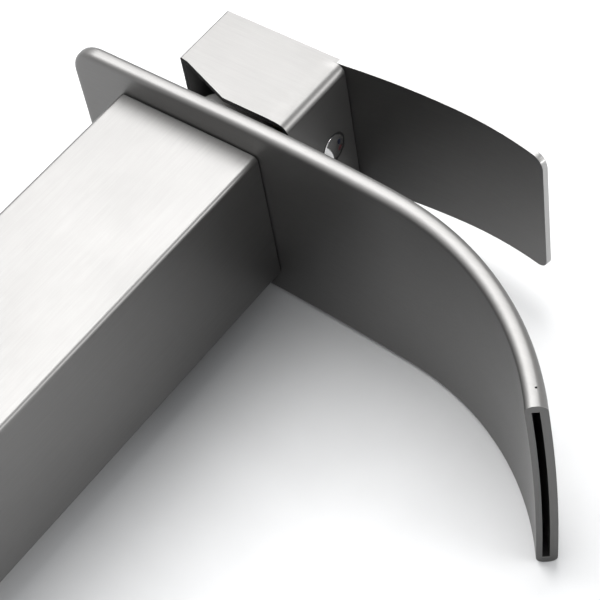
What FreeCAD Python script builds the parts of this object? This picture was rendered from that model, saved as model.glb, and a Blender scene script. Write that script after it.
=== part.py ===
import FreeCAD, Part
import os
import re
import Sketcher

# A single-lever waterfall basin tap: a square column, a flat hollow spout plate that
# lies across its top and curves down at the front, and a box-shaped handle with a
# wide arched lever over it.  +Z up the column, +X the way the water runs, +Y left of
# the spout.  The origin is the middle of the face that stands on the basin's deck.

# ---------------------------------------------------------------- driving dimensions
SIZES = {
    # square column
    "column_width": 45.0,
    "column_wall": 2.0,
    "column_edge_radius": 1.4,
    "spout_height": 255.0,          # deck to the underside of the spout plate
    "column_fit": 0.05,             # clearance per side of what slides into the tube
    # foot
    "gasket_thickness": 1.5,
    "gasket_band": 3.4,
    "rim_height": 3.0,
    "plug_height": 12.0,
    "foot_margin": 1.5,             # metal left above a blind hole in the foot
    # fixing under the deck
    "stud_radius": 3.0,
    "stud_spacing": 27.0,
    "stud_depth": 8.0,
    "stud_length": 56.0,            # what stands out below the deck face
    "stud_waist_radius": 2.7,
    "stud_waist_length": 8.0,       # plain neck between the foot's thread and the nut's
    "clamp_border": 7.5,            # clamp plate left outside the stud holes
    "clamp_thickness": 2.5,
    "washer_thickness": 3.0,
    "deck_thickness": 25.0,         # deck that the clamp is shown gripping
    "hose_slot_width": 15.0,
    "hose_slot_back": -9.0,
    "stud_nut_flats": 10.0,
    "stud_nut_height": 5.0,
    "bolt_clearance": 0.2,
    "thread_clearance": 0.02,
    # tie rods that pull the valve body down on the column
    "rod_radius": 2.0,
    "rod_margin": 4.0,              # tie rod to the column's inner face
    "rod_nut_flats": 7.0,
    "rod_nut_height": 3.2,
    "rod_recess_clearance": 0.36,   # round the tie nut's corners
    "rod_recess_depth": 4.6,
    "rod_engagement": 9.0,
    # water ways
    "riser_spacing": 16.0,
    "riser_radius": 4.0,
    "riser_wall": 1.0,
    "riser_clearance": 0.05,
    "riser_insertion": 6.0,
    "riser_head": 1.5,              # free room above each riser's end
    "inlet_radius": 4.5,            # wall radius of the M10 x 1 inlet threads
    "inlet_depth": 9.0,
    "ring_wire": 0.72,              # half thickness of the riser seals
    "ring_seat_depth": 2.0,
    # valve body
    "flange_thickness": 10.0,
    "boss_wall": 1.4,               # round the riser seals
    "boss_depth": 13.0,
    "neck_wall": 0.8,               # round the water groove
    "neck_height": 9.8,
    "lower_seal_thickness": 1.0,
    "lower_seal_width": 3.4,
    "seat_depth": 13.0,             # cartridge seat below the plate's underside
    "waterway_gap": 0.6,
    "waterway_depth": 11.5,
    "waterway_rise": 0.3,
    "port_width": 5.0,
    # spout plate
    "spout_width": 63.4,
    "spout_thickness": 4.4,
    "spout_wall": 1.3,
    "spout_side_wall": 2.2,
    "spout_overhang": 16.6,         # behind the column
    "spout_corner_radius": 9.0,
    "spout_flat_end": 8.0,
    "spout_ease_radius": 746.0,
    "spout_ease_angle": 4.3,
    "spout_bend_radius": 82.8,
    "spout_bend_angle": 49.4,
    "spout_edge_flat": 0.1,         # flat left on the full-round edges
    "water_chamber_back": -19.0,
    "neck_clearance": 0.1,
    # ring nuts and dome on the neck
    "upper_seal_thickness": 0.6,
    "ring_nut_wall": 1.0,
    "clamp_nut_height": 2.6,
    "cartridge_nut_gap": 0.4,
    "cartridge_nut_lip": 2.4,
    "dome_gap": 0.2,                # dome's skirt to the ring nuts
    "dome_wall": 1.1,
    "dome_top": 19.5,               # above the plate's underside
    "dome_opening": 11.0,
    "dome_ring_depth": 0.45,
    "dome_ring_height": 1.5,
    # cartridge
    "cartridge_radius": 12.5,
    "cartridge_fit": 0.1,
    "base_height": 5.5,
    "base_port_radius": 2.0,
    "hot_port_forward": 3.8,
    "hot_port_side": 4.8,
    "outlet_port_back": 4.5,
    "outlet_port_radius": 2.6,
    "outlet_bore_radius": 1.5,
    "port_seal_width": 1.2,
    "port_seal_thickness": 0.9,
    "disc_recess": 0.8,
    "fixed_disc_rim": 1.95,         # of the cartridge's foot outside the disc
    "fixed_disc_thickness": 3.5,
    "moving_disc_clearance": 0.35,  # to the housing's bore, fully open
    "disc_travel": 2.65,
    "moving_disc_thickness": 2.5,
    "mixing_radius": 5.5,
    "mixing_offset": 2.6,
    "mixing_depth": 1.2,
    "disc_film": 0.02,
    "housing_wall": 1.1,
    "housing_shoulder": 10.0,       # above the plate's underside
    "housing_top": 15.0,
    "housing_neck_wall": 1.12,
    "housing_ring_depth": 0.5,
    "housing_ring_height": 1.5,
    "housing_ring_level": 5.2,
    # moving parts of the cartridge
    "pivot_level": 12.0,            # above the plate's underside
    "pivot_pin_radius": 1.5,
    "pivot_pin_inset": 1.5,         # its ends lie this deep in the rotor
    "pivot_clearance": 0.05,
    "rotor_step": 1.2,              # between the rotor's flange and its barrel
    "rotor_clearance": 0.08,
    "rotor_flange_clearance": 0.2,
    "rotor_flange_height": 1.1,
    "rotor_bottom": 8.5,
    "rotor_top": 16.5,
    "rotor_top_step": 1.0,
    "stem_slot_play": 3.2,          # room for the stem's tilt at each side
    "stem_slot_clearance": 0.3,
    "carrier_gap": 0.35,            # carrier to rotor
    "carrier_pocket_depth": 5.6,
    "ball_radius": 2.3,
    "ball_arm": 6.0,                # pivot to ball centre
    "ball_clearance": 0.35,
    "stem_rod_radius": 1.4,
    "stem_width": 6.0,
    "stem_bar_drop": 2.5,           # square part below the pivot
    "stem_rise": 22.0,              # square part above the pivot
    "stem_fit": 0.05,
    # handle
    "hood_width": 45.0,
    "hood_wall": 1.5,
    "hood_gap": 7.1,                # plate's top face to the hood's lower edge
    "hood_height": 24.5,
    "hood_swing": 0.9,              # dome to the outer face of the hood's back
    "hood_front": 22.5,
    "hood_back_lift": 6.2,          # the back wall ends this much higher
    "hood_back_flat": 3.0,
    "hood_slant_end": 2.0,
    "hood_edge_radius": 2.4,
    "hood_back_edge_radius": 0.8,
    "lever_thickness": 1.6,
    "lever_sweep_start": 18.0,
    "lever_sweep_radius": 40.0,
    "lever_sweep_angle": 7.5,
    "lever_arch_radius": 240.0,
    "lever_tip_radius": 117.0,
    "lever_tip_angle": 13.9,
    "lever_end_width": 41.0,
    "lever_corner_radius": 3.6,
    "hub_back": -6.0,
    "hub_front": 9.0,
    "hub_wall": 2.95,
    "hub_height": 12.0,
    "screw_radius": 2.5,
    "screw_level": 15.8,            # above the hood's lower edge
    "screw_socket_radius": 1.25,
    "screw_socket_depth": 2.5,
    "button_hole_radius": 4.8,
    "button_ring_width": 0.54,
    "button_proud": 0.6,
    "button_round": 0.7,
    "button_flange_width": 0.7,
    "button_flange_thickness": 0.8,
    "button_fit": 0.02,
    "mark_radius": 0.85,
    "mark_depth": 0.5,
    "mark_proud": 0.05,
    "mark_side": 1.5,
    "mark_rise": 2.0,
}

# sizes that fit one piece to another, worked out in the sheet from the sizes above
FITS = {
    "plug_width": "column_width - 2 * column_wall - 2 * column_fit",
    "rod_offset": "column_width / 2 - column_wall - rod_margin - rod_radius",
    "rod_recess_radius": "rod_nut_flats / 2 / cos(30) + rod_recess_clearance",
    "clamp_radius": "stud_spacing / 2 + stud_radius + clamp_border",
    "riser_socket_radius": "riser_radius + riser_clearance",
    "ring_seat_radius": "riser_radius + 2 * ring_wire + 2 * riser_clearance",
    "cartridge_bore": "cartridge_radius + cartridge_fit",
    "waterway_radius": "cartridge_bore + waterway_gap",
    "boss_radius": "max(riser_spacing / 2 + ring_seat_radius; waterway_radius) + boss_wall",
    "neck_radius": "waterway_radius + neck_wall",
    "neck_hole_radius": "neck_radius + neck_clearance",
    "lower_seal_radius": "neck_hole_radius + lower_seal_width",
    "ring_nut_radius": "neck_radius + ring_nut_wall",
    "dome_inner_radius": "ring_nut_radius + dome_gap",
    "dome_radius": "dome_inner_radius + dome_wall",
    "hood_back": "-(dome_radius + hood_swing)",
    "fixed_disc_radius": "cartridge_radius - fixed_disc_rim - cartridge_fit / 2",
    "housing_bore": "cartridge_radius - housing_wall",
    "moving_disc_radius": "housing_bore - disc_travel - moving_disc_clearance",
    "rotor_flange_radius": "housing_bore - rotor_flange_clearance",
    "rotor_radius": "rotor_flange_radius - rotor_step",
    "rotor_bore": "rotor_radius + rotor_clearance",
    "housing_neck_radius": "rotor_bore + housing_neck_wall",
    "rotor_top_radius": "rotor_radius - rotor_top_step",
    "disc_bottom": "base_height - disc_recess - seat_depth",
    "disc_face": "disc_bottom + fixed_disc_thickness",
    "carrier_bottom": "disc_face + disc_film + moving_disc_thickness",
    "carrier_height": "rotor_bottom - carrier_gap - carrier_bottom",
    "pivot_pin_length": "2 * (rotor_radius - pivot_pin_inset)",
    "button_radius": "button_hole_radius - button_ring_width",
    "button_flange_radius": "button_hole_radius + button_flange_width",
    "hub_width": "stem_width + 2 * stem_fit + 2 * hub_wall",
}

doc = FreeCAD.newDocument("waterfall_tap")
sheet = doc.addObject("Spreadsheet::Sheet", "Sizes")
for row, (alias, value) in enumerate((SIZES | FITS).items(), start=1):
    sheet.set("A%d" % row, alias)
    sheet.set("B%d" % row, str(value) if alias in SIZES else "=" + value)
    sheet.setAlias("B%d" % row, alias)
    doc.recompute()

NODES = []          # the finished sub-parts, in the order they are made

# levels along Z that many pieces share
TOP = "spout_height"
PLATE_TOP = "(spout_height + spout_thickness)"
RIM_BOTTOM = "gasket_thickness"
TUBE_BOTTOM = "(gasket_thickness + rim_height)"
PLUG_TOP = "(gasket_thickness + rim_height + plug_height)"
FLANGE_TOP = "(spout_height - lower_seal_thickness)"
BOSS_TOP = "(spout_height - lower_seal_thickness - flange_thickness)"
BOSS_BOTTOM = "(spout_height - lower_seal_thickness - flange_thickness - boss_depth)"
SEAT = "(spout_height - seat_depth)"
PIVOT = "(spout_height + pivot_level)"
DISC_BOTTOM = "(spout_height + disc_bottom)"
DISC_FACE = "(spout_height + disc_face)"
HOOD_BOTTOM = "(spout_height + spout_thickness + hood_gap)"
ROOF = "(spout_height + spout_thickness + hood_gap + hood_height)"
BUTTON = "(spout_height + spout_thickness + hood_gap + screw_level)"


# ---------------------------------------------------------------- drawing helpers
def link(text):
    """The expression, with each size's name pointing at its cell."""
    return re.sub(r"[a-z_]+[a-z]", lambda m: "Sizes." + m[0] if m[0] in SIZES | FITS else m[0], text)


def number(text):
    """What an expression comes to now."""
    return float(sheet.evalExpression(link(text)))


def bind(thing, prop, text):
    thing.setExpression(prop, link(text))


def place(thing, x="0", y="0", z="0"):
    for axis, text in zip("xyz", (x, y, z)):
        bind(thing, "Placement.Base." + axis, text)
    return thing


def rectangle(x_low, x_high, y_low, y_high):
    return [(x_low, y_low), (x_high, y_low), (x_high, y_high), (x_low, y_high)]


def centred(width, depth=None):
    depth = depth or width
    return rectangle("-(%s) / 2" % width, "(%s) / 2" % width, "-(%s) / 2" % depth, "(%s) / 2" % depth)


def hexagon(flats, x, y):
    return [("%s + (%s) / 2 / cos(30) * cos(%d)" % (x, flats, turn),
             "%s + (%s) / 2 / cos(30) * sin(%d)" % (y, flats, turn)) for turn in range(0, 360, 60)]


def circle(x, y, radius):
    return {"x": x, "y": y, "radius": radius}


def arc_to(x, y, centre_x, centre_y, way):
    """A corner whose side is an arc; way is left or right, as one walks along it."""
    return (x, y, centre_x, centre_y, way)


def fix(sketch, kind, geometry, point, text):
    args = [kind, geometry] + ([point] if point else []) + [number(text)]
    index = sketch.addConstraint(Sketcher.Constraint(*args))
    sketch.setExpression("Constraints[%d]" % index, link(text))


def draw_circle(sketch, shape):
    centre = FreeCAD.Vector(number(shape["x"]), number(shape["y"]), 0)
    axis = FreeCAD.Vector(0, 0, 1)
    geometry = sketch.addGeometry(Part.Circle(centre, axis, number(shape["radius"])))
    fix(sketch, "DistanceX", geometry, 3, shape["x"])
    fix(sketch, "DistanceY", geometry, 3, shape["y"])
    fix(sketch, "Radius", geometry, 0, shape["radius"])


def draw_side(sketch, start, corner):
    """One side of an outline: its geometry's number, and which of its points is its far end."""
    end = FreeCAD.Vector(number(corner[0]), number(corner[1]), 0)
    if len(corner) == 2:
        return sketch.addGeometry(Part.LineSegment(start, end)), 2
    centre = FreeCAD.Vector(number(corner[2]), number(corner[3]), 0)
    first, last = (start, end) if corner[4] == "left" else (end, start)
    whole = Part.Circle(centre, FreeCAD.Vector(0, 0, 1), (start - centre).Length)
    arc = Part.ArcOfCircle(whole, whole.parameter(first), whole.parameter(last))
    return sketch.addGeometry(arc), 2 if corner[4] == "left" else 1


def draw_outline(sketch, corners):
    """A closed outline.  An arc is set by its centre, its start and one coordinate of its end."""
    ends = [FreeCAD.Vector(number(c[0]), number(c[1]), 0) for c in corners]
    sides = [draw_side(sketch, ends[i - 1], corner) for i, corner in enumerate(corners)]
    for i, corner in enumerate(corners):
        geometry, far = sides[i]
        after, after_far = sides[(i + 1) % len(sides)]
        sketch.addConstraint(Sketcher.Constraint("Coincident", geometry, far, after, 3 - after_far))
        if len(corner) == 2:
            fix(sketch, "DistanceX", geometry, far, corner[0])
            fix(sketch, "DistanceY", geometry, far, corner[1])
            continue
        fix(sketch, "DistanceX", geometry, 3, corner[2])
        fix(sketch, "DistanceY", geometry, 3, corner[3])
        reach = ends[i] - FreeCAD.Vector(number(corner[2]), number(corner[3]), 0)
        if abs(reach.y) > abs(reach.x):
            fix(sketch, "DistanceX", geometry, far, corner[0])
        else:
            fix(sketch, "DistanceY", geometry, far, corner[1])


def sketch_on(body, plane, shapes, offset="0"):
    sketch = body.newObject("Sketcher::SketchObject", body.Name + "_sketch")
    origin_plane = [p for p in body.Origin.OriginFeatures if p.Role == plane + "_Plane"][0]
    sketch.AttachmentSupport = [(origin_plane, "")]
    sketch.MapMode = "FlatFace"
    bind(sketch, "AttachmentOffset.Base.z", offset)
    for shape in shapes:
        if isinstance(shape, dict):
            draw_circle(sketch, shape)
        else:
            draw_outline(sketch, shape)
    return sketch


def new_body(label):
    body = doc.addObject("PartDesign::Body", label)
    body.Label = label
    return body


def node(thing, label=None):
    """Counts a finished object as a sub-part."""
    if label:
        thing.Label = label
    NODES.append(thing)
    return thing


def pad(body, plane, shapes, length, offset="0", both_ways=False):
    feature = body.newObject("PartDesign::Pad", body.Name + "_pad")
    feature.Profile = sketch_on(body, plane, shapes, offset)
    bind(feature, "Length", length)
    if both_ways:
        feature.SideType = "Symmetric"
    return feature


def pocket(body, plane, shapes, length, offset="0", both_ways=False, forwards=False):
    """Cuts against the plane's normal, or along it when forwards; it has to remove something."""
    doc.recompute()
    before = body.Shape.Volume
    feature = body.newObject("PartDesign::Pocket", body.Name + "_pocket")
    feature.Profile = sketch_on(body, plane, shapes, offset)
    bind(feature, "Length", length)
    feature.Reversed = forwards
    if both_ways:
        feature.SideType = "Symmetric"
    doc.recompute()
    if body.Shape.Volume > before - 0.01:
        raise RuntimeError("a pocket of %s removes nothing" % body.Label)
    return feature


def revolve(body, corners, kind="Revolution"):
    """A turned form: the outline gives radius and height."""
    feature = body.newObject("PartDesign::" + kind, body.Name + "_turning")
    sketch = sketch_on(body, "XZ", [corners])
    feature.Profile = sketch
    feature.ReferenceAxis = (sketch, ["V_Axis"])
    feature.Angle = 360
    return feature


def turned(label, corners, x="0", y="0", z="0"):
    body = new_body(label)
    revolve(body, corners)
    return place(body, x, y, z)


def tube(label, outer, inner, bottom, height, x="0", y="0"):
    return turned(label, rectangle(inner, outer, "0", height), x, y, bottom)


def rounding(body, radius, wanted):
    """Rounds the edges that wanted picks from the body's present shape."""
    doc.recompute()
    base = body.Tip
    names = ["Edge%d" % (i + 1) for i, edge in enumerate(base.Shape.Edges) if wanted(edge)]
    feature = body.newObject("PartDesign::Fillet", body.Name + "_rounding")
    feature.Base = (base, names)
    bind(feature, "Radius", radius)
    doc.recompute()
    return feature


def upright(edge):
    """An edge that runs along Z."""
    box = edge.BoundBox
    return box.XLength < 0.01 and box.YLength < 0.01 and box.ZLength > 0.5


def group(label, members):
    """Identical pieces that share a node."""
    compound = doc.addObject("Part::Compound", label)
    compound.Links = members
    return node(compound, label)


def dress_to_plate(body, level):
    """Trims a flat top at that level to the spout plate's underside, which eases down in front."""
    reach = "(column_width / 2 + 1)"
    radius = "(spout_ease_radius - spout_thickness / 2)"
    drop = "(%s - sqrt(%s^2 - (%s - spout_flat_end)^2))" % (radius, radius, reach)
    outline = [("spout_flat_end", level),
               arc_to(reach, "%s - %s" % (level, drop), "spout_flat_end", "%s - %s" % (level, radius), "right"),
               (reach, level + " + 1"),
               ("spout_flat_end", level + " + 1")]
    pocket(body, "XZ", [outline], "column_width + 2", both_ways=True)


# ---------------------------------------------------------------- column and foot
def make_column():
    body = new_body("column_tube")
    inner = centred("column_width - 2 * column_wall")
    pad(body, "XY", [centred("column_width")], "spout_height - " + TUBE_BOTTOM)
    half = number("column_width") / 2
    rounding(body, "column_edge_radius", lambda e: upright(e) and abs(e.BoundBox.XMax) > half - 0.1)
    height = "spout_height - " + TUBE_BOTTOM
    pocket(body, "XY", [inner], height, offset=height)
    dress_to_plate(body, "spout_height - " + TUBE_BOTTOM)
    node(place(body, z=TUBE_BOTTOM))


def rod_places():
    """Two tie rods stand on one diagonal of the column."""
    return [("rod_offset", "rod_offset"), ("-rod_offset", "-rod_offset")]


def riser_places():
    return [("hot", "riser_spacing / 2"), ("cold", "-riser_spacing / 2")]


def stud_places():
    return ["stud_spacing / 2", "-stud_spacing / 2"]


def make_base_block():
    body = new_body("base_block")
    whole = "rim_height + plug_height"
    pad(body, "XY", [centred("column_width")], "rim_height")
    half = number("column_width") / 2
    rounding(body, "column_edge_radius", lambda e: upright(e) and abs(e.BoundBox.XMax) > half - 0.1)
    pad(body, "XY", [centred("plug_width")], whole)
    rods = [circle(x, y, "rod_radius + bolt_clearance") for x, y in rod_places()]
    pocket(body, "XY", rods, whole, offset=whole)
    recesses = [circle(x, y, "rod_recess_radius") for x, y in rod_places()]
    pocket(body, "XY", recesses, "rod_recess_depth", forwards=True)
    studs = [circle(x, "0", "stud_radius + thread_clearance") for x in stud_places()]
    pocket(body, "XY", studs, "stud_depth", forwards=True)
    inlets = [circle("0", y, "inlet_radius") for _, y in riser_places()]
    pocket(body, "XY", inlets, "inlet_depth", forwards=True)
    ways = [circle("0", y, "riser_radius - riser_wall") for _, y in riser_places()]
    pocket(body, "XY", ways, whole, offset=whole)
    sockets = [circle("0", y, "riser_socket_radius") for _, y in riser_places()]
    pocket(body, "XY", sockets, "riser_insertion - 1", offset=whole)
    seats = [circle("0", y, "ring_seat_radius") for _, y in riser_places()]
    pocket(body, "XY", seats, "ring_seat_depth", offset=whole)
    node(place(body, z=RIM_BOTTOM))


def make_base_gasket():
    body = new_body("base_gasket")
    pad(body, "XY", [centred("column_width"), centred("column_width - 2 * gasket_band")], "gasket_thickness")
    half = number("column_width") / 2
    rounding(body, "column_edge_radius", lambda e: upright(e) and abs(e.BoundBox.XMax) > half - 0.1)
    node(body)


def make_mounting_studs():
    studs = []
    for i, x in enumerate(stud_places()):
        studs.append(turned("stud_%d" % (i + 1),
                            [("0", "-stud_length"), ("stud_radius", "-stud_length"),
                             ("stud_radius", "-stud_waist_length"), ("stud_waist_radius", "-stud_waist_length"),
                             ("stud_waist_radius", "0"), ("stud_radius", "0"),
                             ("stud_radius", "gasket_thickness + stud_depth"),
                             ("0", "gasket_thickness + stud_depth")], x=x))
    group("mounting_studs", studs)


def make_horseshoe(label, bottom, thickness):
    """A round plate with a slot for the hoses and two holes for the studs."""
    body = new_body(label)
    holes = [circle(x, "0", "stud_radius + bolt_clearance") for x in stud_places()]
    pad(body, "XY", [circle("0", "0", "clamp_radius")] + holes, thickness)
    half = "hose_slot_width / 2"
    slot = [("-" + half, "clamp_radius + 1"),
            ("-" + half, "hose_slot_back"),
            arc_to(half, "hose_slot_back", "0", "hose_slot_back", "left"),
            (half, "clamp_radius + 1")]
    pocket(body, "XY", [slot], thickness, offset=thickness)
    node(place(body, z=bottom))


def make_clamp():
    washer_bottom = "-(deck_thickness + washer_thickness)"
    plate_bottom = "-(deck_thickness + washer_thickness + clamp_thickness)"
    make_horseshoe("deck_washer", washer_bottom, "washer_thickness")
    make_horseshoe("clamp_plate", plate_bottom, "clamp_thickness")
    nuts = []
    for i, x in enumerate(stud_places()):
        body = new_body("stud_nut_%d" % (i + 1))
        bore = circle("0", "0", "stud_radius + thread_clearance")
        pad(body, "XY", [hexagon("stud_nut_flats", "0", "0"), bore], "stud_nut_height")
        nuts.append(place(body, x, "0", plate_bottom + " - stud_nut_height"))
    group("stud_nuts", nuts)


def make_tie_rods():
    nut_top = "(gasket_thickness + rod_recess_depth)"
    rod_bottom = "(gasket_thickness + 0.5)"
    rods, nuts = [], []
    for i, (x, y) in enumerate(rod_places()):
        rod = new_body("tie_rod_%d" % (i + 1))
        pad(rod, "XY", [circle("0", "0", "rod_radius")], BOSS_TOP + " + rod_engagement - " + rod_bottom)
        rods.append(place(rod, x, y, rod_bottom))
        nut = new_body("tie_nut_%d" % (i + 1))
        bore = circle("0", "0", "rod_radius + thread_clearance")
        pad(nut, "XY", [hexagon("rod_nut_flats", "0", "0"), bore], "rod_nut_height")
        nuts.append(place(nut, x, y, nut_top + " - rod_nut_height"))
    group("tie_rods", rods)
    group("tie_nuts", nuts)


def make_risers():
    low_end = "(" + PLUG_TOP + " - riser_insertion + 1)"
    high_end = "(" + BOSS_BOTTOM + " + riser_insertion)"
    for name, y in riser_places():
        length = high_end + " - " + low_end
        node(tube(name + "_riser_tube", "riser_radius", "riser_radius - riser_wall", low_end, length, y=y))
    rings = []
    ring_radius = "riser_radius + riser_clearance + ring_wire"
    levels = [PLUG_TOP + " - ring_seat_depth / 2", BOSS_BOTTOM + " + ring_seat_depth / 2"]
    for name, y in riser_places():
        for i, level in enumerate(levels):
            body = new_body("%s_riser_ring_%d" % (name, i + 1))
            feature = body.newObject("PartDesign::Revolution", body.Name + "_turning")
            sketch = sketch_on(body, "XZ", [circle(ring_radius, "0", "ring_wire")])
            feature.Profile = sketch
            feature.ReferenceAxis = (sketch, ["V_Axis"])
            feature.Angle = 360
            rings.append(place(body, "0", y, level))
    group("riser_o_rings", rings)


# ---------------------------------------------------------------- valve body and spout
def make_valve_body():
    """Drawn about the plate's underside, which is level 0 here."""
    body = new_body("valve_body")
    flange_top = "-lower_seal_thickness"
    flange_bottom = "-(lower_seal_thickness + flange_thickness)"
    boss_bottom = "-(lower_seal_thickness + flange_thickness + boss_depth)"
    revolve(body, [("0", boss_bottom), ("boss_radius", boss_bottom), ("boss_radius", flange_bottom + " + 1"),
                   ("neck_radius", flange_bottom + " + 1"), ("neck_radius", "neck_height"),
                   ("0", "neck_height")])
    pad(body, "XY", [centred("plug_width")], "flange_thickness", offset=flange_bottom)
    bore = "cartridge_bore"
    chamber_top = "spout_thickness - spout_wall + waterway_rise"
    revolve(body, [("0", "-seat_depth"), (bore, "-seat_depth"), (bore, "-waterway_depth"),
                   ("waterway_radius", "-waterway_depth"), ("waterway_radius", chamber_top),
                   (bore, chamber_top), (bore, "neck_height + 1"), ("0", "neck_height + 1")], "Groove")
    rods = [circle(x, y, "rod_radius + thread_clearance") for x, y in rod_places()]
    pocket(body, "XY", rods, "rod_engagement + 0.4", offset=flange_bottom, forwards=True)
    sockets = [circle("0", y, "riser_socket_radius") for _, y in riser_places()]
    pocket(body, "XY", sockets, "riser_insertion + riser_head", offset=boss_bottom, forwards=True)
    seats = [circle("0", y, "ring_seat_radius") for _, y in riser_places()]
    pocket(body, "XY", seats, "ring_seat_depth", offset=boss_bottom, forwards=True)
    ways = [circle("hot_port_forward", side, "base_port_radius")
            for side in ("hot_port_side", "-hot_port_side")]
    pocket(body, "XY", ways, "boss_depth + flange_thickness + lower_seal_thickness - seat_depth"
           " - riser_insertion - riser_head + 0.5", offset="-seat_depth")
    height = "spout_thickness - 2 * spout_wall"
    port = rectangle("-port_width / 2", "port_width / 2", "spout_wall", "spout_wall + " + height)
    slot = pocket(body, "YZ", [port], "2 * neck_radius + 2", both_ways=True)
    pattern = body.newObject("PartDesign::PolarPattern", "valve_body_ports")
    pattern.Originals = [slot]
    pattern.Axis = ([a for a in body.Origin.OriginFeatures if a.Role == "Z_Axis"][0], [""])
    pattern.Angle = 360
    pattern.Occurrences = 6
    body.Tip = pattern
    node(place(body, z=TOP))


def make_spout():
    """The hollow plate: flat over the column, eased, then bent down.  Level 0 is its underside."""
    body = new_body("spout_shell")
    middle = "spout_thickness / 2"
    ease_centre = ("spout_flat_end", middle + " - spout_ease_radius")
    full_turn = "(spout_ease_angle + spout_bend_angle)"
    bend_centre = ("spout_flat_end + (spout_ease_radius - spout_bend_radius) * sin(spout_ease_angle)",
                   ease_centre[1] + " + (spout_ease_radius - spout_bend_radius) * cos(spout_ease_angle)")

    def offset_ends(grow):
        """Where the two arcs end, on the line that lies grow above the plate's middle."""
        ease = "(spout_ease_radius + (%s))" % grow
        bend = "(spout_bend_radius + (%s))" % grow
        first = ("%s + %s * sin(spout_ease_angle)" % (ease_centre[0], ease),
                 "%s + %s * cos(spout_ease_angle)" % (ease_centre[1], ease))
        last = ("%s + %s * sin(%s)" % (bend_centre[0], bend, full_turn),
                "%s + %s * cos(%s)" % (bend_centre[1], bend, full_turn))
        return first, last

    def side_view(back, half, past_end="0"):
        """The plate's outline from the side; past_end runs on beyond the cut end."""
        top_ease, top_end = offset_ends(half)
        low_ease, low_end = offset_ends("-(%s)" % half)
        run_x = "(%s) * cos(%s)" % (past_end, full_turn)
        run_y = "(%s) * sin(%s)" % (past_end, full_turn)
        corners = [(back, "%s - (%s)" % (middle, half)),
                   ("spout_flat_end", "%s - (%s)" % (middle, half)),
                   arc_to(*low_ease, *ease_centre, "right"),
                   arc_to(*low_end, *bend_centre, "right")]
        if past_end != "0":
            corners.append((low_end[0] + " + " + run_x, low_end[1] + " - " + run_y))
            corners.append((top_end[0] + " + " + run_x, top_end[1] + " - " + run_y))
        corners.append(top_end)
        corners.append(arc_to(*top_ease, *bend_centre, "left"))
        corners.append(arc_to("spout_flat_end", "%s + (%s)" % (middle, half), *ease_centre, "left"))
        corners.append((back, "%s + (%s)" % (middle, half)))
        return corners

    back = "-(column_width / 2 + spout_overhang)"
    pad(body, "XZ", [side_view(back, "spout_thickness / 2")], "spout_width", both_ways=True)
    half_width = number("spout_width") / 2
    back_x = number(back)
    rounding(body, "spout_corner_radius", lambda e: upright(e) and e.BoundBox.XMax < back_x + 1)

    end_middle = offset_ends("0")[1]
    end_x = number(end_middle[0])
    end_reach = number("spout_thickness")

    def rim(edge):
        """The edges all round the top and bottom faces, without those of the cut end."""
        box = edge.BoundBox
        at_end = box.YLength > 2 * half_width - 1 and box.XMin > end_x - end_reach
        thin = box.XLength < end_reach and box.YLength < 0.01
        across = box.YLength > 2 * half_width - 1 and box.XMax > back_x + 1
        return not (at_end or thin or across or upright(edge))

    rounding(body, "(spout_thickness - spout_edge_flat) / 2", rim)
    cavity = side_view("water_chamber_back", "spout_thickness / 2 - spout_wall", past_end="3")
    pocket(body, "XZ", [cavity], "spout_width - 2 * spout_side_wall", both_ways=True)
    pocket(body, "XY", [circle("0", "0", "neck_hole_radius")], "spout_thickness + 2",
           offset="spout_thickness + 1")
    node(place(body, z=TOP))


def make_spout_seals():
    seal = tube("spout_lower_seal", "lower_seal_radius", "neck_hole_radius",
                FLANGE_TOP, "lower_seal_thickness")
    dress_to_plate(seal, "lower_seal_thickness")
    node(seal)
    node(tube("spout_upper_seal", "ring_nut_radius", "neck_hole_radius",
              PLATE_TOP, "upper_seal_thickness"))


def make_ring_nuts():
    thread = "neck_radius + thread_clearance"
    clamp_bottom = PLATE_TOP + " + upper_seal_thickness"
    node(tube("spout_clamp_nut", "ring_nut_radius", thread, clamp_bottom, "clamp_nut_height"))
    nut_bottom = "spout_thickness + upper_seal_thickness + clamp_nut_height + cartridge_nut_gap"
    groove_low = "(%s + 0.7)" % nut_bottom
    groove_high = groove_low + " + dome_ring_height"
    groove = "ring_nut_radius - dome_ring_depth"
    node(turned("cartridge_nut",
                [(thread, nut_bottom), ("ring_nut_radius", nut_bottom), ("ring_nut_radius", groove_low),
                 (groove, groove_low), (groove, groove_high), ("ring_nut_radius", groove_high),
                 ("ring_nut_radius", "housing_shoulder + cartridge_nut_lip"),
                 ("housing_neck_radius + cartridge_fit", "housing_shoulder + cartridge_nut_lip"),
                 ("housing_neck_radius + cartridge_fit", "housing_shoulder"),
                 (thread, "housing_shoulder")], z=TOP))
    node(tube("dome_o_ring", "dome_inner_radius - 0.01", groove + " + 0.01",
              "spout_height + " + groove_low, "dome_ring_height"))


def make_dome():
    """A ball-shaped cover round the pivot, so that the tilting handle clears it at every angle."""
    inner = "dome_inner_radius"
    rise = "(dome_top - pivot_level)"
    inner_rise = "(dome_top - dome_wall - pivot_level)"
    node(turned("dome_cap",
                [(inner, "spout_thickness"), ("dome_radius", "spout_thickness"),
                 ("dome_radius", "pivot_level"),
                 arc_to("sqrt(dome_radius^2 - %s^2)" % rise, "dome_top", "0", "pivot_level", "left"),
                 ("dome_opening", "dome_top"), ("dome_opening", "dome_top - dome_wall"),
                 ("sqrt(%s^2 - %s^2)" % (inner, inner_rise), "dome_top - dome_wall"),
                 arc_to(inner, "pivot_level", "0", "pivot_level", "right")], z=TOP))


# ---------------------------------------------------------------- cartridge
def base_ports(radius):
    """The hot and cold ways through the cartridge's foot and its fixed disc."""
    return [circle("hot_port_forward", side, radius) for side in ("hot_port_side", "-hot_port_side")]


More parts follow.
